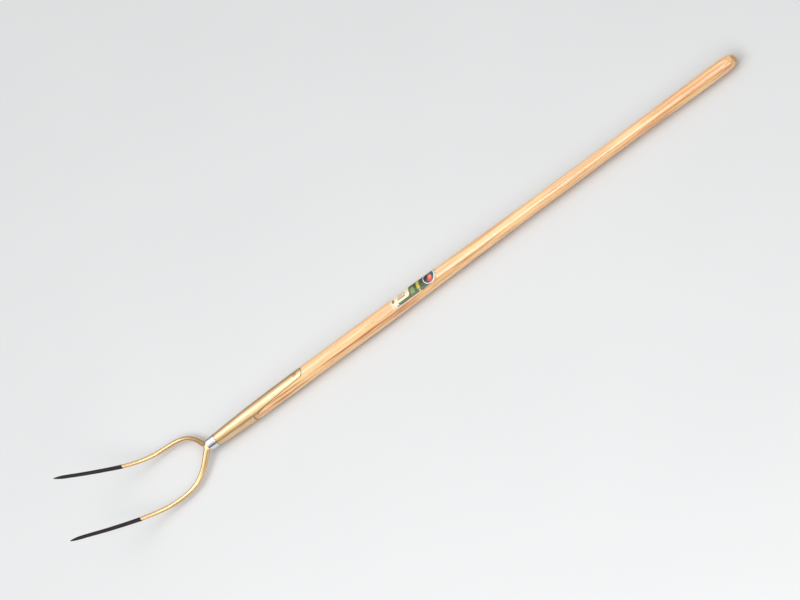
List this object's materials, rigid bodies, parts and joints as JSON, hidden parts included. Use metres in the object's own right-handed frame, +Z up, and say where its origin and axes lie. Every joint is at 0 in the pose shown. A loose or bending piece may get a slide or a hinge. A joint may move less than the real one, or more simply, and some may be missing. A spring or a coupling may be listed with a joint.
{
  "type": "hay fork",
  "caption": "Long-handled hay fork with slender curved tines, a strapped steel socket and a tapered ash handle, for pitching loose hay and straw.",
  "frame": {"origin": "under the middle of the fork's overall length, on its plane of symmetry, at the level of its lowest point", "axes": "+X along the handle towards the tine points, +Y to the left, +Z up on the hollow side of the tines, with the fork lying hollow side up"},
  "size_m": [1.6743, 0.1574, 0.125],
  "materials": {
    "varnished_ash": "clear gloss varnish over straight-grained ash",
    "head_lacquer": "forged steel in pale gold lacquer, the tine ends dipped in black",
    "bright_steel": "polished bright",
    "gold_lacquer": "pale gold lacquer on rolled sheet steel",
    "rivet_steel": "brown-gold lacquered rivet",
    "printed_film": "glossy printed film"
  },
  "bodies": {
    "root": {"ash_handle": "varnished_ash", "fork_head": "head_lacquer", "ferrule_ring": "bright_steel", "strapped_socket": "gold_lacquer", "strap_rivet": "rivet_steel", "handle_label": "printed_film"}
  },
  "joints": []
}
